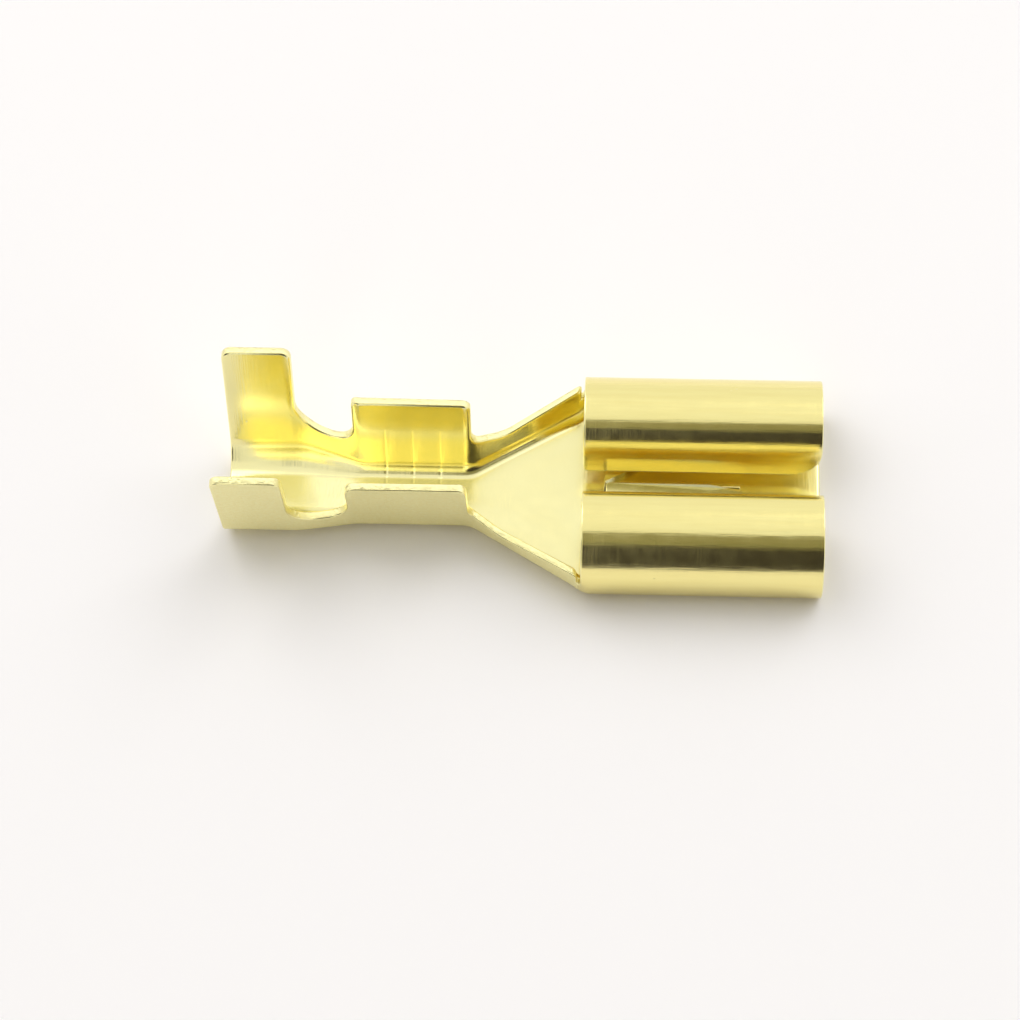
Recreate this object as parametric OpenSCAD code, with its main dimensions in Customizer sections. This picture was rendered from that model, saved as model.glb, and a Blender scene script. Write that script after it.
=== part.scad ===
// Push-on receptacle terminal for a flat tab, with open crimp barrels for a stranded wire.
// One strip of brass sheet, stamped flat and folded up on both sides of its floor.
// X runs from the wire end to the mouth, Y across the floor and Z up. Sizes are in millimetres.

/* [Sheet] */
// Thickness of the brass sheet
sheet_t = 0.3; // [0.2:0.01:0.4]

/* [Mating tab] */
// Width of the flat tab that the receptacle takes
tab_w = 6.3; // [5.6:0.1:9.5]
// Thickness of that tab
tab_t = 0.8; // [0.5:0.05:1.2]
// Room beside the tab, on each side
tab_side_clear = 0.02; // [0:0.01:0.2]
// How much lower than the tab's top the springy lips stand while no tab is in
tab_grip = 0.23; // [0.1:0.01:0.3]

/* [Receptacle] */
// Length of the receptacle
receptacle_l = 7.8; // [6:0.1:12]
// Outside radius of the bend between the floor and a rolled edge
floor_bend_r = 0.52; // [0.45:0.01:0.8]
// Angle that the floor bend turns before the wider roll takes over
floor_bend_deg = 60; // [40:1:80]
// Outside radius of the rolled edges
roll_r = 1.74; // [1.6:0.01:1.85]
// Angle round the roll, from straight down, where its tighter shoulder begins
roll_deg = 200; // [190:1:205]
// Outside radius of that shoulder
shoulder_r = 1.12; // [1:0.01:1.4]
// Angle where the shoulder ends
shoulder_deg = 236; // [225:1:240]
// Outside radius of the bend between the shoulder and the lip
lip_bend_r = 1.68; // [1.5:0.01:1.8]
// Angle where that bend ends and the straight lip begins
lip_deg = 266; // [260:1:270]
// Rounding of the lip corners at the mouth, which leads the tab in
lip_round_r = 0.95; // [0.2:0.05:1.2]

/* [Locking tongue] */
// Length of the tongue, cut free on three sides in the receptacle floor
tongue_l = 4.4; // [2:0.1:5]
// Width of the tongue
tongue_w = 0.86; // [0.6:0.02:2]
// Sheared gap around the tongue
tongue_gap = 0.06; // [0.03:0.01:0.15]
// Distance from the back of the receptacle to the free end of the tongue
tongue_back = 0.75; // [0.4:0.05:1.5]
// Rise of the tongue above the floor, into a hole in the tab
tongue_rise = 0.25; // [0.1:0.01:0.4]
// Length of the slope between the floor and the raised tongue
tongue_slope_l = 0.9; // [0.5:0.05:1.6]
// Corner rounding at the free end of the tongue
tongue_corner_r = 0.12; // [0.05:0.01:0.25]

/* [Crimp barrels] */
// Width of the flat floor along both barrels
barrel_floor_w = 1.1; // [0.6:0.05:1.6]
// Length of the insulation wings
insulation_l = 2.25; // [1.5:0.05:4]
// Inside radius of the bend at the foot of the insulation wings
insulation_bend_r = 1; // [0.5:0.05:1.5]
// Outward lean of the insulation wings, in degrees from upright
insulation_lean = 11; // [0:1:25]
// Straight height of the insulation wings, along the sheet above the bend
insulation_wing_h = 4.05; // [2.4:0.05:6]
// Corner rounding of the insulation wings
insulation_corner_r = 0.25; // [0.1:0.05:0.6]
// Length of the conductor wings
conductor_l = 3.9; // [2.4:0.1:6]
// Inside radius of the bend at the foot of the conductor wings
conductor_bend_r = 0.48; // [0.3:0.02:1]
// Outward lean of the conductor wings, in degrees from upright
conductor_lean = 9; // [0:1:25]
// Straight height of the conductor wings, along the sheet above the bend
conductor_wing_h = 2.8; // [2.2:0.1:4]
// Corner rounding of the conductor wings
conductor_corner_r = 0.3; // [0.1:0.05:0.6]

/* [Notch between the wings] */
// Straight height of the wall left standing between the wings
web_wall_h = 0.64; // [0.2:0.02:1]
// Rounding from the notch up into the insulation wing
notch_back_r = 1; // [0.3:0.05:1.3]
// Flat length at the bottom of the notch
notch_flat_l = 0.1; // [0.05:0.05:1]
// Rounding from the notch up into the conductor wing
notch_front_r = 0.8; // [0.3:0.05:1]

/* [Serrations] */
// Number of grooves pressed across the conductor barrel
groove_n = 3; // [1:1:4]
// Spacing of the grooves
groove_pitch = 0.9; // [0.5:0.05:1]
// Width of a groove
groove_w = 0.22; // [0.1:0.02:0.3]
// Depth of a groove
groove_d = 0.07; // [0.02:0.01:0.12]
// Height of the grooves up the wings, above the bend
groove_wall_h = 1.6; // [0.4:0.1:2]

/* [Flared transition] */
// Length of the flare between the conductor wings and the receptacle
flare_l = 3.57; // [2.5:0.01:6]
// How far the flare's flat floor ends short of the receptacle's, on each side
flare_inset = 0.37; // [0.2:0.01:1]
// Length of the low part of the flanges, next to the conductor wings
flange_low_l = 1.05; // [0.6:0.05:1.6]
// Straight height of the flanges where they leave the conductor wings
flange_back_h = 0.95; // [0.4:0.05:1.4]
// Straight height of the flanges at their lowest point
flange_low_h = 0.46; // [0.2:0.02:1.4]
// Straight height of the flanges at the receptacle
flange_front_h = 0.82; // [0.4:0.02:1.6]
// Rounding from the conductor wing down into the flange
flange_root_r = 0.3; // [0.1:0.05:0.5]
// Rounding of the flange's front corner
flange_end_r = 0.15; // [0.1:0.05:0.35]
// Inside radius of the flange bend at the receptacle
flange_bend_r = 0.46; // [0.2:0.02:0.8]
// Outward lean of the flanges at the receptacle, in degrees from upright
flange_lean = 9; // [0:1:40]
// Relief slit between the flanges and the rolled edges
relief_gap = 0.13; // [0.08:0.01:0.4]
// Angle round the roll, from straight down, up to which the flare stays joined to it
relief_deg = 90; // [85:1:110]

/* [Hidden] */
brass = "#E9D98A";

// Facets that each bend and each rounded corner of the formed tail is drawn with
bend_steps = 8;
corner_steps = 5;
// Widest angle that one facet of a rolled edge turns
facet_deg = 6;
// Reach of the cutters past the faces that they cut, and of the tongue into the floor that carries it
cut_extra = 0.2;
$fn = 96;

// Stations along X, from the wire end
wing_gap = notch_back_r + notch_flat_l + notch_front_r;
x_notch = insulation_l;
x_conductor = x_notch + wing_gap;
x_flare = x_conductor + conductor_l;
x_rise = x_flare + flange_low_l;
x_flare_end = x_flare + flare_l;
x_receptacle = x_flare_end + relief_gap;
total_l = x_receptacle + receptacle_l;

// The floor is flat this far out, and the springy lips come down to this height
bend_y = tab_w / 2 + tab_side_clear;
lip_z = sheet_t + tab_t - tab_grip;

// Bends of a rolled edge from the floor up to its lip, as outside radius and the angle where each ends.
// The first two are left joined to the flare, and the relief slit begins above them.
roll_bends = [
    [floor_bend_r, floor_bend_deg],
    [roll_r, relief_deg],
    [roll_r, roll_deg],
    [shoulder_r, shoulder_deg],
    [lip_bend_r, lip_deg]];
joined_bends = 2;

function mix(a, b, k) = a + (b - a) * k;
function share(x, from, to) = min(1, max(0, (x - from) / (to - from)));

// Folding law of the tail: floor half width, inside bend radius and wing lean at a station
function floor_half(x) = mix(barrel_floor_w / 2, bend_y - flare_inset, share(x, x_flare, x_flare_end));
function bend_r(x) =
    x < x_flare
    ? mix(insulation_bend_r, conductor_bend_r, share(x, x_notch, x_conductor))
    : mix(conductor_bend_r, flange_bend_r, share(x, x_flare, x_flare_end));
function lean(x) =
    x < x_flare
    ? mix(insulation_lean, conductor_lean, share(x, x_notch, x_conductor))
    : mix(conductor_lean, flange_lean, share(x, x_flare, x_flare_end));

// Height left under a quarter round of radius r, at a distance d from where it runs level
function round_rise(r, d) = r - sqrt(max(0, r * r - d * d));

// Straight height of the wall above the bend at a station, without the wings
function flange_h(x) =
    x < x_rise
    ? mix(flange_back_h, flange_low_h, share(x, x_flare, x_rise))
    : mix(flange_low_h, flange_front_h, share(x, x_rise, x_flare_end));
function wall_h(x) =
    x < x_conductor
    ? web_wall_h
        + round_rise(notch_back_r, max(0, x_notch + notch_back_r - max(x, x_notch)))
        + round_rise(notch_front_r, max(0, x - x_conductor + notch_front_r))
    : x < x_flare
    ? mix(web_wall_h + notch_front_r, flange_back_h + flange_root_r, share(x, x_conductor, x_flare))
    : flange_h(x)
        + round_rise(flange_root_r, max(0, x_flare + flange_root_r - x))
        - round_rise(flange_end_r, max(0, x - x_flare_end + flange_end_r));

// Straight height of a wing's edge above the bend at a station
function corner_drop(x, from, to, r) = round_rise(r, max(0, from + r - x, x - to + r));
function wing_h(x) =
    x < x_conductor
    ? insulation_wing_h - corner_drop(x, 0, x_notch, insulation_corner_r)
    : conductor_wing_h - corner_drop(x, x_conductor, x_flare, conductor_corner_r);

// Half of the folded section as [y, z] points, at a depth into the sheet from its inner face
function half_section(x, heights, depth) =
    let (w = floor_half(x), r = bend_r(x), turn = 90 - lean(x))
    let (bend = [for (i = [0:bend_steps])
        let (a = turn * i / bend_steps)
        [w + (r + depth) * sin(a), sheet_t + r - (r + depth) * cos(a)]])
    concat(bend, [for (h = heights) bend[bend_steps] + h * [cos(turn), sin(turn)]]);
function reversed(list) = [for (i = [len(list) - 1:-1:0]) list[i]];
function across(half) = concat([for (p = reversed(half)) [-p[0], p[1]]], half);

// Stations close together where the outline is rounded, and only at the ends where it is straight
function round_steps(from, to) =
    [for (i = [1:corner_steps]) from + (to - from) * (1 - cos(90 * i / corner_steps))];
stations = concat(
    [0],
    round_steps(0, insulation_corner_r),
    reversed(round_steps(x_notch, x_notch - insulation_corner_r)),
    [x_notch],
    round_steps(x_notch, x_notch + notch_back_r),
    reversed(round_steps(x_conductor, x_conductor - notch_front_r)),
    [x_conductor],
    round_steps(x_conductor, x_conductor + conductor_corner_r),
    reversed(round_steps(x_flare, x_flare - conductor_corner_r)),
    [x_flare],
    round_steps(x_flare, x_flare + flange_root_r),
    [x_rise],
    [for (i = [1:corner_steps - 1]) mix(x_rise, x_flare_end - flange_end_r, i / corner_steps)],
    reversed(round_steps(x_flare_end, x_flare_end - flange_end_r)),
    [x_flare_end]);

// Cells of the tail: stations count along X, rows from the edge of one wing across to the other.
// Each side has the points of its bend, the top of its wall and the edge of its wing.
rows = 2 * len(half_section(0, [wall_h(0), wing_h(0)], 0));
last_station = len(stations) - 1;
function winged(x) = x < x_notch || (x > x_conductor && x < x_flare);
function in_sheet(i, j) =
    i >= 0 && i < last_station && j >= 0 && j < rows - 1
    && ((j > 0 && j < rows - 2) || winged((stations[i] + stations[i + 1]) / 2));
function halved(quad) = [[quad[0], quad[1], quad[2]], [quad[0], quad[2], quad[3]]];

// Floor, bends, wings and flanges of the tail as one folded sheet
module tail() {
    points = [for (x = stations) for (depth = [0, sheet_t])
        for (p = across(half_section(x, [wall_h(x), wing_h(x)], depth))) [x, p[0], p[1]]];
    beside = [[-1, 0], [0, 1], [1, 0], [0, -1]];
    faces = [for (i = [0:last_station - 1]) for (j = [0:rows - 2]) if (in_sheet(i, j))
        let (a = 2 * i * rows + j, b = a + 2 * rows)
        let (inner = [a, a + 1, b + 1, b], outer = [for (k = inner) k + rows])
        each concat(
            halved(inner),
            halved(reversed(outer)),
            [for (k = [0:3]) if (!in_sheet(i + beside[k][0], j + beside[k][1]))
                let (m = (k + 1) % 4)
                each halved([inner[m], inner[k], outer[k], outer[m]])])];
    polyhedron(points, faces);
}

module grooves() {
    span = (groove_n - 1) * groove_pitch;
    first = x_conductor + (conductor_l - span - groove_w) / 2;
    for (i = [0:groove_n - 1])
        translate([first + i * groove_pitch, 0, 0])
            rotate([90, 0, 90])
                linear_extrude(groove_w)
                    polygon(concat(
                        across(half_section(x_conductor, [groove_wall_h], -cut_extra)),
                        reversed(across(half_section(x_conductor, [groove_wall_h], groove_d)))));
}

// Where a bend starts, and its centre as [y, z] for the edge on the +Y side.
// Angles count from straight down towards the outside of the part.
function ray(a) = [sin(a), -cos(a)];
function bend_from(i) = i == 0 ? 0 : roll_bends[i - 1][1];
function bend_at(i) =
    i == 0
    ? [bend_y, floor_bend_r]
    : bend_at(i - 1) + (roll_bends[i - 1][0] - roll_bends[i][0]) * ray(bend_from(i));

// One face of a rolled edge through its first n bends as [y, z] points, at a depth in from its outer face
function roll_side(n, depth) =
    [for (i = [0:n - 1])
        let (from = bend_from(i), to = roll_bends[i][1], steps = ceil((to - from) / facet_deg))
        for (k = [i == 0 ? 0 : 1:steps])
            bend_at(i) + (roll_bends[i][0] - depth) * ray(mix(from, to, k / steps))];

// The same face through all the bends, with the straight lip after them
function last(list) = list[len(list) - 1];
function lip_side(depth) =
    let (side = roll_side(len(roll_bends), depth))
    let (drop = last(roll_side(len(roll_bends), sheet_t))[1] - lip_z)
    concat(side, [last(side) - drop * [cos(lip_deg) / sin(lip_deg), 1]]);

// Carries a section drawn in Y and Z from a station to the mouth
module to_mouth(x) {
    translate([x, 0, 0])
        rotate([90, 0, 90]) linear_extrude(total_l - x) children();
}

module section(inner, outer) {
    polygon(concat(across(inner), reversed(across(outer))));
}

// The floor and the lower part of the rolls reach back to the flare, past the relief slits
module rolled_floor() {
    to_mouth(x_flare_end)
        section(roll_side(joined_bends, sheet_t), roll_side(joined_bends, 0));
    to_mouth(x_receptacle)
        section(lip_side(sheet_t), lip_side(0));
}

// What is taken off the two lips at the mouth, seen from the side
module lip_lead_in() {
    difference() {
        square([lip_round_r + cut_extra, lip_round_r]);
        translate([0, lip_round_r]) circle(lip_round_r);
    }
}

module tongue_window() {
    translate([x_receptacle + tongue_back - tongue_gap, -tongue_w / 2 - tongue_gap, -cut_extra])
        cube([tongue_l + tongue_gap, tongue_w + 2 * tongue_gap, sheet_t + 2 * cut_extra]);
}

module receptacle() {
    difference() {
        rolled_floor();
        translate([total_l - lip_round_r, bend_y / 2, lip_z])
            rotate([90, 0, 0]) linear_extrude(bend_y) lip_lead_in();
        tongue_window();
    }
}

// The tongue from the side: level at its free end, then sloping down to the floor
module tongue_side() {
    polygon([
        [0, tongue_rise],
        [tongue_l - tongue_slope_l, tongue_rise],
        [tongue_l, 0],
        [tongue_l + cut_extra, 0],
        [tongue_l + cut_extra, sheet_t],
        [tongue_l, sheet_t],
        [tongue_l - tongue_slope_l, sheet_t + tongue_rise],
        [0, sheet_t + tongue_rise]]);
}

// The tongue from above, with its rounded free end
module tongue_outline() {
    r = tongue_corner_r;
    translate([r, -tongue_w / 2]) square([tongue_l + cut_extra - r, tongue_w]);
    translate([0, r - tongue_w / 2]) square([2 * r, tongue_w - 2 * r]);
    for (side = [-1, 1])
        translate([r, side * (tongue_w / 2 - r)]) circle(r);
}

module tongue() {
    translate([x_receptacle + tongue_back, 0, 0])
        intersection() {
            translate([0, tongue_w, 0])
                rotate([90, 0, 0]) linear_extrude(2 * tongue_w) tongue_side();
            linear_extrude(sheet_t + tongue_rise) tongue_outline();
        }
}

module terminal() {
    color(brass)
        translate([-total_l / 2, 0, 0]) {
            difference() {
                tail();
                grooves();
            }
            receptacle();
            tongue();
        }
}

terminal();
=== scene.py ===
# Push-on receptacle terminal for a flat tab, with open crimp barrels for a stranded wire.
# It is made as the real one is: a flat blank is cut out, its cut edges are rounded, and it is folded up.
import math

import bmesh
import bpy
from mathutils import Matrix, Vector


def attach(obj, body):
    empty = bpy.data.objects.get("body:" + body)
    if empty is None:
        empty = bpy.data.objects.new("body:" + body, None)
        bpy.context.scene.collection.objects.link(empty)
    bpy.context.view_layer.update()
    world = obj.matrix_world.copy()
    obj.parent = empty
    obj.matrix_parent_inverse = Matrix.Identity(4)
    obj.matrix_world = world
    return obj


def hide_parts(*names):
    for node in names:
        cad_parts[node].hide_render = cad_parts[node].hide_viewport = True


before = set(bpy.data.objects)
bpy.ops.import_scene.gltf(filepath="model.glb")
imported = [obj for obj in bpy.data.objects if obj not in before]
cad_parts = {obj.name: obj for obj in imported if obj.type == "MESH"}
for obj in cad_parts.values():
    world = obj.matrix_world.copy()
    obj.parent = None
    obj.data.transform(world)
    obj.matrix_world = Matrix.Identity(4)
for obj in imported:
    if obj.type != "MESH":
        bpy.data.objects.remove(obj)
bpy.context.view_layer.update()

MM = 0.001

# Sizes of the part in millimetres, with X from the wire end to the mouth. Radii are inside the bends.
SHEET_T = 0.3
FLOOR_HALF = 3.17
# Bends of a rolled edge from the floor on: floor bend, roll, shoulder and lip bend, as radius and turn
ROLL_BENDS = (
    (0.22, math.radians(60)),
    (1.44, math.radians(140)),
    (0.82, math.radians(36)),
    (1.38, math.radians(30)),
)
LIP_L = 0.627
LIP_ROUND = 1.1
LIP_BACK_ROUND = 0.15
X_NOTCH = 2.25
X_CONDUCTOR = 4.15
X_FLARE = 8.05
X_LOW = 9.1
X_FLARE_END = 11.62
X_ROLL = 11.75
X_MOUTH = 19.55

BARREL_FLOOR_HALF = 0.55
INSULATION_BEND_R = 1.0
INSULATION_TURN = math.radians(79)
INSULATION_WING_H = 4.05
INSULATION_ROUND = 0.32
CONDUCTOR_BEND_R = 0.47
CONDUCTOR_TURN = math.radians(81)
CONDUCTOR_WING_H = 2.8
CONDUCTOR_ROUND = 0.3
WEB_H = 0.64
# How much later than the floor bend the wall above it narrows between the barrels
WEB_LAG = 0.3
NOTCH_BACK_ROUND = 1.0
NOTCH_FRONT_ROUND = 0.8

FLANGE_BACK_H = 0.95
FLANGE_LOW_H = 0.46
FLANGE_FRONT_H = 0.82
FLANGE_ROOT_ROUND = 0.3
FLANGE_LOW_ROUND = 0.3
FLANGE_END_ROUND = 0.16
SLIT_TURN = math.radians(30)
SLIT_ROUND = 0.05

TONGUE_TIP = 12.5
TONGUE_HINGE = 16.9
TONGUE_MIDDLE = (TONGUE_TIP + TONGUE_HINGE) / 2
# Half of the length that the tongue's cut lies within, with room to spare
TONGUE_REACH = 3.2
TONGUE_HALF = 0.43
TONGUE_GAP = 0.06
TONGUE_RISE = 0.25
TONGUE_SLOPE_L = 1.1
TONGUE_DISH = 0.038
TONGUE_ROUND = 0.12

GROOVE_CENTRES = (5.2, 6.1, 7.0)
GROOVE_HALF = 0.05
GROOVE_FLAT_HALF = 0.015
GROOVE_D = 0.008
GROOVE_H = 1.6
GROOVE_END = 0.1

# Rounding that the punch leaves on the cut edges: wide on its own side, which is folded inwards
PUNCH_ROUND = 0.09
BURR_ROUND = 0.035
TONGUE_EDGE_ROUND = 0.03

# Rims of the flat blank are its level edges that are sharper than this
RIM_ANGLE = 1.5
# How far up a face of the flat blank points: a cut edge hardly at all, and the outside straight down
CUT_FACING = 0.3
OUTSIDE_FACING = -0.999
# Points of the blank that are nearer than this are one point
TOUCH = 1e-5

# Lines of the blank that become the fold lines, counted from its middle
ROLL_LINE = FLOOR_HALF + ROLL_BENDS[0][0] * ROLL_BENDS[0][1]
WALL_LINE = FLOOR_HALF + CONDUCTOR_BEND_R * CONDUCTOR_TURN
SLIT_LINE = ROLL_LINE + ROLL_BENDS[1][0] * SLIT_TURN
LIP_LINE = FLOOR_HALF + sum(radius * turn for radius, turn in ROLL_BENDS) + LIP_L

# The flare widens on a straight run that would reach the receptacle's floor width here
X_FLARE_FULL = 12.207
FOLD_SOFT = 0.5
# Where the flare's section has become the receptacle's, low at the floor bend and high on the roll
JOIN_LOW = (11.4, 12.35)
JOIN_HIGH = (11.6, 11.76)
JOIN_HIGH_LINE = ROLL_LINE + ROLL_BENDS[1][0] * math.radians(50)

# Scores run a little past the bends that they serve, and lie close beside the grooves
SCORE_MARGIN = 0.3
X_SCORE_END = 12.4
LIP_SCORE_MARGIN = 0.2
GROOVE_SCORE_MARGIN = 0.03


def mix(a, b, share):
    return a + (b - a) * share


def ease(value, low, high):
    share = min(1.0, max(0.0, (value - low) / (high - low)))
    return share * share * (3 - 2 * share)


def run_up(value, soft):
    """A straight rise from nothing that starts at 0, with the start eased over soft."""
    if value <= -soft / 2:
        return 0.0
    return value if value >= soft / 2 else (value + soft / 2) ** 2 / (2 * soft)


def ramp(value, low, high):
    """A straight run from 0 at low to 1 at high, with both ends eased as sheet eases at a bend."""
    return (run_up(value - low, FOLD_SOFT) - run_up(value - high, FOLD_SOFT)) / (high - low)


def tail_section(x, line, depth):
    """Y and Z of a point of the folded barrels and flare, at a depth into the sheet from its inner face."""
    narrowing = ramp(x - WEB_LAG * ease(line, FLOOR_HALF, WALL_LINE), X_NOTCH, X_CONDUCTOR)
    bend_r = mix(INSULATION_BEND_R, CONDUCTOR_BEND_R, narrowing)
    turn = mix(INSULATION_TURN, CONDUCTOR_TURN, narrowing)
    floor_half = mix(BARREL_FLOOR_HALF, FLOOR_HALF, ramp(x, X_FLARE, X_FLARE_FULL))
    if line <= FLOOR_HALF:
        return floor_half * line / FLOOR_HALF, SHEET_T - depth
    angle = turn * min(1.0, (line - FLOOR_HALF) / (WALL_LINE - FLOOR_HALF))
    height = max(0.0, line - WALL_LINE)
    y = floor_half + (bend_r + depth) * math.sin(angle) + height * math.cos(turn)
    z = SHEET_T + bend_r - (bend_r + depth) * math.cos(angle) + height * math.sin(turn)
    return y, z


def roll_section(line, depth):
    """Y and Z of a point of the folded receptacle, found by following the bends round from the floor."""
    if line <= FLOOR_HALF:
        return line, SHEET_T - depth
    y, z, facing, left = FLOOR_HALF, SHEET_T, 0.0, line - FLOOR_HALF
    for radius, turn in ROLL_BENDS:
        step = min(turn, left / radius)
        y += radius * (math.sin(facing + step) - math.sin(facing))
        z -= radius * (math.cos(facing + step) - math.cos(facing))
        facing += step
        left -= radius * step
    y += left * math.cos(facing)
    z += left * math.sin(facing)
    return y + depth * math.sin(facing), z - depth * math.cos(facing)


def folded(point):
    """Where a point of the flat blank is once the blank is folded, in metres in the part's frame."""
    x, line, depth = point.x, abs(point.y), -point.z
    height = ease(line, ROLL_LINE, JOIN_HIGH_LINE)
    joined = ease(x, mix(JOIN_LOW[0], JOIN_HIGH[0], height), mix(JOIN_LOW[1], JOIN_HIGH[1], height))
    tail_y, tail_z = tail_section(x, line, depth)
    roll_y, roll_z = roll_section(line, depth)
    y, z = mix(tail_y, roll_y, joined), mix(tail_z, roll_z, joined)
    if line < TONGUE_HALF + TONGUE_GAP / 2 and TONGUE_TIP - TONGUE_GAP / 2 < x < TONGUE_HINGE:
        lift = ease(x, TONGUE_HINGE, TONGUE_HINGE - TONGUE_SLOPE_L)
        z += lift * (TONGUE_RISE + TONGUE_DISH * line / TONGUE_HALF)
    return Vector((x - X_MOUTH / 2, math.copysign(y, point.y), z)) * MM


def blank_corners():
    """Corners of half the flat blank as (x, line, rounding): round the tongue's cut, then the outline."""
    return (
        (0, 0, 0),
        (TONGUE_TIP - TONGUE_GAP, 0, 0),
        (TONGUE_TIP - TONGUE_GAP, TONGUE_HALF + TONGUE_GAP, TONGUE_ROUND + TONGUE_GAP),
        (TONGUE_HINGE, TONGUE_HALF + TONGUE_GAP, 0),
        (TONGUE_HINGE, TONGUE_HALF, 0),
        (TONGUE_TIP, TONGUE_HALF, TONGUE_ROUND),
        (TONGUE_TIP, 0, 0),
        (X_MOUTH, 0, 0),
        (X_MOUTH, LIP_LINE, LIP_ROUND),
        (X_ROLL, LIP_LINE, LIP_BACK_ROUND),
        (X_ROLL, SLIT_LINE, SLIT_ROUND),
        (X_FLARE_END, SLIT_LINE, SLIT_ROUND),
        (X_FLARE_END, WALL_LINE + FLANGE_FRONT_H, FLANGE_END_ROUND),
        (X_LOW, WALL_LINE + FLANGE_LOW_H, FLANGE_LOW_ROUND),
        (X_FLARE, WALL_LINE + FLANGE_BACK_H, FLANGE_ROOT_ROUND),
        (X_FLARE, WALL_LINE + CONDUCTOR_WING_H, CONDUCTOR_ROUND),
        (X_CONDUCTOR, WALL_LINE + CONDUCTOR_WING_H, CONDUCTOR_ROUND),
        (X_CONDUCTOR, WALL_LINE + WEB_H, NOTCH_FRONT_ROUND),
        (X_NOTCH, WALL_LINE + WEB_H, NOTCH_BACK_ROUND),
        (X_NOTCH, WALL_LINE + INSULATION_WING_H, INSULATION_ROUND),
        (0, WALL_LINE + INSULATION_WING_H, INSULATION_ROUND),
    )


def round_edges(blank, edges, size, segments):
    bmesh.ops.bevel(
        blank, geom=edges, offset=size, offset_type="OFFSET", affect="EDGES",
        segments=segments, profile=0.5, material=-1, clamp_overlap=False)


def steps(low, high, count):
    return [mix(low, high, i / count) for i in range(count + 1)]


def score(blank, places, direction, inside):
    """Cuts the faces that lie inside along lines at these places, so that the sheet can bend there."""
    for place in places:
        faces = [face for face in blank.faces if inside(face.calc_center_median())]
        edges = {edge for face in faces for edge in face.edges}
        verts = {vert for face in faces for vert in face.verts}
        bmesh.ops.bisect_plane(
            blank, geom=[*faces, *edges, *verts], dist=TOUCH,
            plane_co=direction * place, plane_no=direction)


def cut_blank():
    """The flat blank with its thickness and its rounded cut edges, in millimetres."""
    blank = bmesh.new()
    corners = blank_corners()
    verts = [blank.verts.new((x, line, 0)) for x, line, rounding in corners]
    blank.faces.new(verts)
    for vert, (x, line, rounding) in zip(verts, corners):
        if rounding:
            bmesh.ops.bevel(
                blank, geom=[vert], offset=rounding, offset_type="OFFSET", affect="VERTICES",
                segments=max(4, round(rounding * 20)), profile=0.5, material=-1, clamp_overlap=False)
    bmesh.ops.mirror(
        blank, geom=[*blank.verts, *blank.edges, *blank.faces], matrix=Matrix.Identity(4),
        merge_dist=TOUCH, axis="Y")
    bmesh.ops.recalc_face_normals(blank, faces=blank.faces)
    sheet = bmesh.ops.extrude_face_region(blank, geom=blank.faces[:])["geom"]
    outer_verts = [item for item in sheet if isinstance(item, bmesh.types.BMVert)]
    bmesh.ops.translate(blank, verts=outer_verts, vec=(0, 0, -SHEET_T))
    bmesh.ops.recalc_face_normals(blank, faces=blank.faces)

    rims = [edge for edge in blank.edges if len(edge.link_faces) == 2 and edge.calc_face_angle() > RIM_ANGLE
            and abs(edge.verts[0].co.z - edge.verts[1].co.z) < TOUCH]
    for_tongue, for_punch, for_burr = [], [], []
    for edge in rims:
        middle = (edge.verts[0].co + edge.verts[1].co) / 2
        at_tongue = abs(middle.y) < 2 * TONGUE_HALF and abs(middle.x - TONGUE_MIDDLE) < TONGUE_REACH
        group = for_tongue if at_tongue else for_punch if middle.z > -SHEET_T / 2 else for_burr
        group.append(edge)
    round_edges(blank, for_punch, PUNCH_ROUND, 4)
    round_edges(blank, [edge for edge in for_burr if edge.is_valid], BURR_ROUND, 2)
    round_edges(blank, [edge for edge in for_tongue if edge.is_valid], TONGUE_EDGE_ROUND, 2)

    cut_edge = blank.faces.layers.float.new("cut_edge")
    for face in blank.faces:
        face.normal_update()
        face[cut_edge] = float(abs(face.normal.z) < CUT_FACING)
    return blank


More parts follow.
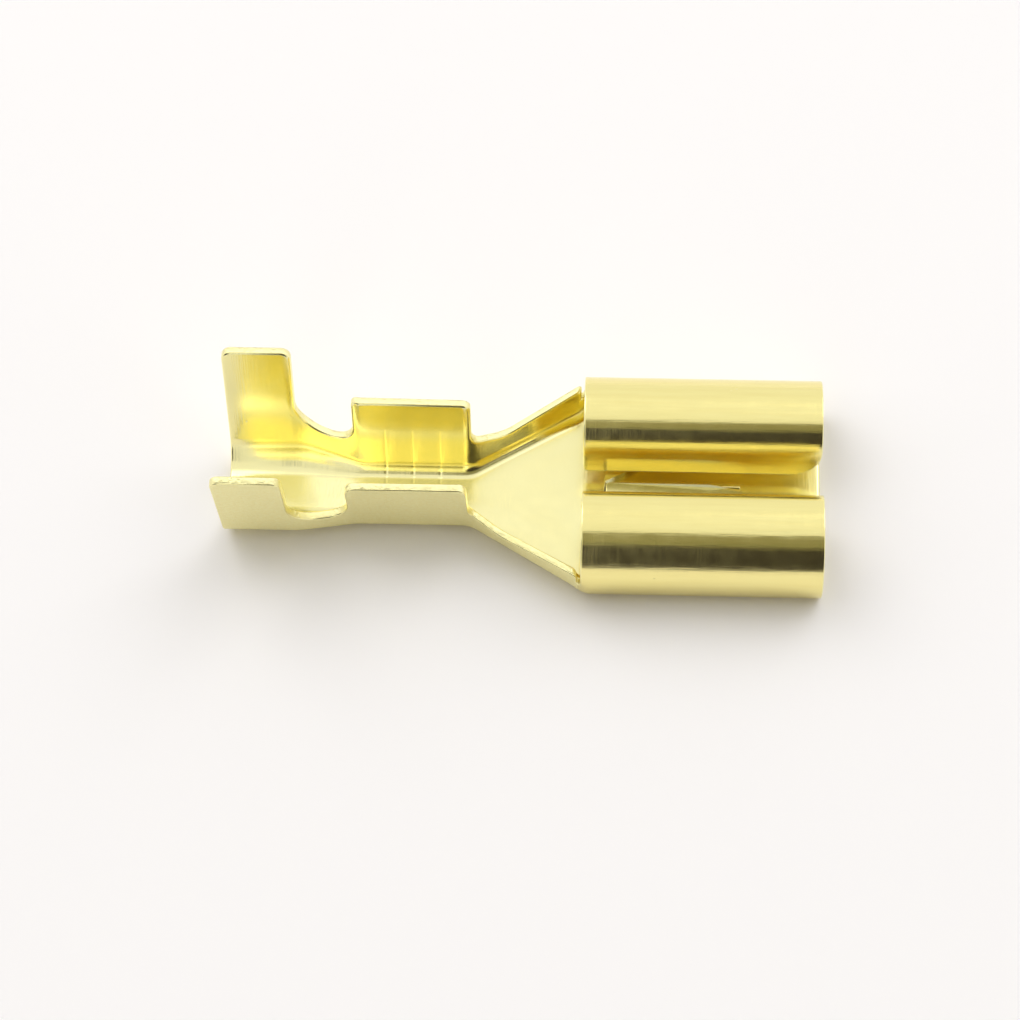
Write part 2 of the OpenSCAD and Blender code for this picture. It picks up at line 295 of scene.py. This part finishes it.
def score_blank(blank):
    """Scores the blank wherever it will bend, closely where the bends are tight."""
    along, across = Vector((1, 0, 0)), Vector((0, 1, 0))

    def everywhere(at):
        return True

    def in_receptacle(at):
        return at.x > X_FLARE_END

    def on_lip(at):
        return at.x > X_FLARE_END and abs(at.y) > LIP_LINE - 1.5 * LIP_ROUND

    def in_conductor(at):
        return X_CONDUCTOR < at.x < X_FLARE

    def in_grooved_part(at):
        return in_conductor(at) and abs(at.y) < WALL_LINE + GROOVE_H

    def on_floor(at):
        return at.x > X_FLARE_END and abs(at.y) < FLOOR_HALF

    def on_tongue(at):
        return abs(at.y) < TONGUE_HALF and TONGUE_TIP < at.x < TONGUE_HINGE

    score(blank, steps(X_NOTCH - SCORE_MARGIN, X_CONDUCTOR + SCORE_MARGIN, 16), along, everywhere)
    score(blank, steps(X_FLARE - SCORE_MARGIN, X_SCORE_END, 32), along, everywhere)
    lines = steps(FLOOR_HALF, ROLL_LINE, 12) + steps(ROLL_LINE, WALL_LINE, 10)[1:]
    score(blank, [side * line for line in lines for side in (-1, 1)], across, everywhere)
    lines = steps(WALL_LINE, LIP_LINE, 60)[1:-1]
    score(blank, [side * line for line in lines for side in (-1, 1)], across, in_receptacle)
    score(blank, steps(X_MOUTH - LIP_ROUND - LIP_SCORE_MARGIN, X_MOUTH - PUNCH_ROUND, 12), along, on_lip)
    lines = (WALL_LINE + GROOVE_H, WALL_LINE + GROOVE_H - GROOVE_END)
    score(blank, [side * line for line in lines for side in (-1, 1)], across, in_conductor)
    halves = (GROOVE_HALF + GROOVE_SCORE_MARGIN, GROOVE_HALF, GROOVE_FLAT_HALF)
    for centre in GROOVE_CENTRES:
        edges = [centre + way * half for way in (-1, 1) for half in halves]
        score(blank, edges, along, in_grooved_part)
    score(blank, (TONGUE_HINGE + 2 * TONGUE_GAP, TONGUE_HINGE + 4 * TONGUE_GAP), along, on_floor)
    score(blank, steps(TONGUE_HINGE - TONGUE_SLOPE_L, TONGUE_HINGE, 12)[:-1], along, on_tongue)
    score(blank, steps(-TONGUE_HALF, TONGUE_HALF, 8)[1:-1], across, on_tongue)


def press_grooves(blank):
    for vert in blank.verts:
        if vert.co.z > -TOUCH and abs(vert.co.y) < WALL_LINE + GROOVE_H - GROOVE_END / 2:
            for centre in GROOVE_CENTRES:
                if abs(vert.co.x - centre) < (GROOVE_HALF + GROOVE_FLAT_HALF) / 2:
                    vert.co.z = -GROOVE_D


def make_terminal():
    blank = cut_blank()
    score_blank(blank)
    flat = blank.loops.layers.uv.new("flat_blank")
    # Outside faces of the rolls, which get the drag marks and a painted warm reflection in their tone
    rolled_outside = blank.faces.layers.float.new("rolled_outside")
    frosted_outside = blank.faces.layers.float.new("frosted_outside")
    for face in blank.faces:
        face.smooth = True
        outside = face.normal.z < OUTSIDE_FACING
        in_receptacle = face.calc_center_median().x > X_FLARE_END
        face[rolled_outside] = float(outside and in_receptacle)
        face[frosted_outside] = float(outside and not in_receptacle)
        for loop in face.loops:
            loop[flat].uv = loop.vert.co.xy * MM
    press_grooves(blank)
    for vert in blank.verts:
        vert.co = folded(vert.co)
    mesh = bpy.data.meshes.new("brass_terminal")
    blank.to_mesh(mesh)
    blank.free()
    terminal = bpy.data.objects.new("brass_terminal", mesh)
    bpy.context.collection.objects.link(terminal)
    even = terminal.modifiers.new("even_normals", "WEIGHTED_NORMAL")
    even.mode = "FACE_AREA"
    return terminal


def colour(hex_code):
    """Linear colour of an sRGB hex value."""
    parts = [int(hex_code[i:i + 2], 16) / 255 for i in (1, 3, 5)]
    return (*[c / 12.92 if c <= 0.04045 else ((c + 0.055) / 1.055) ** 2.4 for c in parts], 1.0)


def add(tree, kind, inputs=None, **settings):
    """Adds a node with its settings, and fills its inputs with values or links from other nodes."""
    node = tree.nodes.new("ShaderNode" + kind)
    for name, value in settings.items():
        setattr(node, name, value)
    for name, value in (inputs or {}).items():
        if isinstance(value, bpy.types.NodeSocket):
            tree.links.new(value, node.inputs[name])
        else:
            node.inputs[name].default_value = value
    return node


def new_material(name):
    material = bpy.data.materials.new(name)
    material.use_nodes = True
    material.node_tree.nodes.clear()
    return material, material.node_tree


def rolled_brass_sheet():
    """Bright rolled brass: a pale yellow mirror that deepens to gold in the folds, where it mirrors itself.
    The outside of the barrels and the flare is frosted, so it looks pale and almost matt."""
    material, tree = new_material("rolled_brass_sheet")
    flat = add(tree, "UVMap", uv_map="flat_blank").outputs["UV"]
    cut_edge = add(tree, "Attribute", attribute_name="cut_edge").outputs["Fac"]
    rolled_outside = add(tree, "Attribute", attribute_name="rolled_outside").outputs["Fac"]
    frosted_outside = add(tree, "Attribute", attribute_name="frosted_outside").outputs["Fac"]
    place = add(tree, "TexCoord").outputs["Object"]

    # Rolling lines across the blank, which the folding turns round the rolls. The real ones are some
    # 0.01 mm apart, and these are coarsened to about 0.06 mm so that they still show.
    across = add(tree, "Mapping", {"Vector": flat, "Scale": (1.0, 0.04, 1.0)}).outputs["Vector"]
    lines = add(tree, "TexNoise", {
        "Vector": across, "Scale": 1 / (0.06 * MM), "Detail": 2.0, "Roughness": 0.6}).outputs["Fac"]
    # Drag marks of the rolling tools along the outside of the rolls, some 0.15 mm apart
    dragged = add(tree, "Mapping", {"Vector": flat, "Scale": (0.05, 1.0, 1.0)}).outputs["Vector"]
    drag = add(tree, "TexNoise", {
        "Vector": dragged, "Scale": 1 / (0.15 * MM), "Detail": 3.0, "Roughness": 0.65}).outputs["Fac"]
    # Wear that dulls the mirror in patches of about half a millimetre
    haze = add(tree, "TexNoise", {
        "Vector": flat, "Scale": 1 / (0.5 * MM), "Detail": 4.0, "Roughness": 0.6}).outputs["Fac"]
    # Thin tarnish in patches of some millimetres, which browns the yellow a little
    tarnish = add(tree, "TexNoise", {
        "Vector": flat, "Scale": 1 / (2.5 * MM), "Detail": 3.0, "Roughness": 0.6}).outputs["Fac"]
    # Scattered nicks from tumbling about with other terminals, some 0.1 mm wide
    spots = add(tree, "TexVoronoi", {"Vector": flat, "Scale": 1 / (0.8 * MM), "Randomness": 1.0})
    nick_depth = add(tree, "MapRange", {
        "Value": spots.outputs["Distance"], "From Min": 0.02, "From Max": 0.07,
        "To Min": 1.0, "To Max": 0.0}).outputs["Result"]
    kind = add(tree, "SeparateColor", {"Color": spots.outputs["Color"]}).outputs["Red"]
    some = add(tree, "MapRange", {
        "Value": kind, "From Min": 0.55, "From Max": 0.6}).outputs["Result"]
    nicks = add(tree, "Math", {0: nick_depth, 1: some}, operation="MULTIPLY").outputs["Value"]
    # Grain on the outside of the barrels and the flare, which no tool has rubbed bright, coarsened from a
    # few hundredths of a millimetre to 0.12 mm so that it shows
    grain = add(tree, "TexNoise", {
        "Vector": flat, "Scale": 1 / (0.12 * MM), "Detail": 3.0, "Roughness": 0.7}).outputs["Fac"]
    # Tear marks of the shears through the thickness of the cut edges
    tears = add(tree, "TexNoise", {
        "Vector": place, "Scale": 1 / (0.13 * MM), "Detail": 3.0, "Roughness": 0.7}).outputs["Fac"]

    # The outside of the rolls is painted a little yellower than the rest, a painted warm reflection, and
    # its tone varies along the real drag marks; the grain speckles the outside that the rolling tools don't
    # reach
    inner = add(tree, "MixRGB", {
        "Fac": tarnish, "Color1": colour("#FDF6BA"), "Color2": colour("#F9EFAC")}).outputs["Color"]
    drag_tone_and_warm_reflection = add(tree, "MixRGB", {
        "Fac": drag, "Color1": colour("#FDF2A9"), "Color2": colour("#F5E697")}).outputs["Color"]
    speckled = add(tree, "MixRGB", {
        "Fac": grain, "Color1": colour("#FFFCD2"), "Color2": colour("#F5E9A0")}).outputs["Color"]
    tone = add(tree, "MixRGB", {
        "Fac": rolled_outside, "Color1": inner, "Color2": drag_tone_and_warm_reflection}).outputs["Color"]
    tone = add(tree, "MixRGB", {
        "Fac": frosted_outside, "Color1": tone, "Color2": speckled}).outputs["Color"]
    dulled = add(tree, "MapRange", {
        "Value": haze, "From Min": 0.3, "From Max": 0.7, "To Min": 0.16, "To Max": 0.22}).outputs["Result"]
    frosted = add(tree, "MapRange", {
        "Value": frosted_outside, "To Min": dulled, "To Max": 0.56}).outputs["Result"]
    roughness = add(tree, "MapRange", {
        "Value": cut_edge, "To Min": frosted, "To Max": 0.3}).outputs["Result"]

    normal = add(tree, "Bump", {
        "Height": lines, "Strength": 0.7, "Distance": 0.003 * MM}).outputs["Normal"]
    normal = add(tree, "Bump", {
        "Height": drag, "Strength": rolled_outside, "Distance": 0.006 * MM,
        "Normal": normal}).outputs["Normal"]
    normal = add(tree, "Bump", {
        "Height": grain, "Strength": frosted_outside, "Distance": 0.045 * MM,
        "Normal": normal}).outputs["Normal"]
    normal = add(tree, "Bump", {
        "Height": nicks, "Strength": 1.0, "Distance": 0.012 * MM, "Normal": normal},
        invert=True).outputs["Normal"]
    normal = add(tree, "Bump", {
        "Height": tears, "Strength": cut_edge, "Distance": 0.06 * MM, "Normal": normal}).outputs["Normal"]
    shader = add(tree, "BsdfPrincipled", {
        "Base Color": tone, "Metallic": 1.0, "Roughness": roughness, "Normal": normal})
    add(tree, "OutputMaterial", {"Surface": shader.outputs["BSDF"]})
    return material


def matt_paper(name, shade):
    """Uncoated paper or card: one even tone with next to no gloss, which only catches the part's shadow."""
    material, tree = new_material(name)
    shader = add(tree, "BsdfPrincipled", {
        "Base Color": colour(shade), "Roughness": 0.8, "Specular IOR Level": 0.1})
    add(tree, "OutputMaterial", {"Surface": shader.outputs["BSDF"]})
    return material


def add_stage(name, shape, material):
    mesh = bpy.data.meshes.new(name)
    shape.to_mesh(mesh)
    shape.free()
    mesh.materials.append(material)
    item = bpy.data.objects.new(name, mesh)
    bpy.context.collection.objects.link(item)
    return item


def make_floor():
    shape = bmesh.new()
    bmesh.ops.create_grid(shape, x_segments=1, y_segments=1, size=3.0)
    add_stage("floor", shape, matt_paper("white_paper", "#FCF9F8"))


def make_card(name, shade, low_deg, high_deg, left, right):
    """A matt card bent round the part in front of it, between two heights seen from the part."""
    reach = 0.4
    low = math.radians(low_deg)
    shape = bmesh.new()
    ends = [shape.verts.new((x, -reach * math.cos(low), reach * math.sin(low))) for x in (left, right)]
    edge = shape.edges.new(ends)
    bmesh.ops.spin(shape, geom=[*ends, edge], cent=(0, 0, 0), axis=(-1, 0, 0), dvec=(0, 0, 0),
                   angle=math.radians(high_deg - low_deg), steps=12)
    card = add_stage(name, shape, matt_paper(name, shade))
    card.visible_camera = False


def light_tent():
    """White cloth all round, whose even light the brass mirrors."""
    world = bpy.data.worlds.new("light_tent")
    bpy.context.scene.world = world
    world.use_nodes = True
    tree = world.node_tree
    tree.nodes.clear()
    background = add(tree, "Background", {"Color": colour("#FFFFFF"), "Strength": 0.94})
    add(tree, "OutputWorld", {"Surface": background.outputs["Background"]})


def add_soft_box(name, place, size, energy):
    """A square soft lamp that looks at the part."""
    data = bpy.data.lights.new(name, "AREA")
    data.shape = "SQUARE"
    data.size = size
    data.energy = energy
    lamp = bpy.data.objects.new(name, data)
    bpy.context.collection.objects.link(lamp)
    lamp.location = place
    lamp.rotation_euler = Vector(place).to_track_quat("Z", "Y").to_euler()
    lamp.visible_camera = False


def place_camera():
    """The photograph's viewpoint, from the fitted angles."""
    elevation, yaw, roll = math.radians(59.52), math.radians(4.215), math.radians(-2.515)
    distance, lens = 109.71 * MM, 117.13
    target = Vector((9.344 - X_MOUTH / 2, -0.371, 0)) * MM
    level = math.cos(elevation)
    back = Vector((math.sin(yaw) * level, -math.cos(yaw) * level, math.sin(elevation)))
    right = Vector((math.cos(yaw), math.sin(yaw), 0))
    up = back.cross(right)
    turned_right = right * math.cos(roll) + up * math.sin(roll)
    turned_up = up * math.cos(roll) - right * math.sin(roll)
    data = bpy.data.cameras.new("camera")
    data.lens = lens
    data.sensor_width = 36
    data.clip_start = 0.005
    data.clip_end = 20
    camera = bpy.data.objects.new("camera", data)
    bpy.context.collection.objects.link(camera)
    axes = Matrix((turned_right, turned_up, back)).transposed().to_4x4()
    camera.matrix_world = Matrix.Translation(target + back * distance) @ axes
    bpy.context.scene.camera = camera


place_camera()
terminal = make_terminal()
terminal.data.materials.append(rolled_brass_sheet())
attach(terminal, "root")
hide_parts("terminal")

make_floor()
make_card("brown_card", "#2C2722", low_deg=0, high_deg=51, left=-0.045, right=0.4)
make_card("tan_card", "#8C8965", low_deg=51, high_deg=77, left=-0.04, right=0.3)
make_card("side_card", "#2C2722", low_deg=0, high_deg=60, left=-0.7, right=-0.16)
light_tent()
for side, name in ((-1, "left"), (1, "right")):
    add_soft_box(name + "_soft_box", place=(side * 0.46, 0.44, 0.6), size=0.6, energy=1.5)
    add_soft_box(name + "_top_light", place=(side * 0.27, 0.22, 0.92), size=0.22, energy=0.14)
bpy.context.scene.view_settings.view_transform = "Standard"
# The deep gold inside the folds is light that has gone from wall to wall many times
bpy.context.scene.cycles.max_bounces = 40
bpy.context.scene.cycles.glossy_bounces = 36
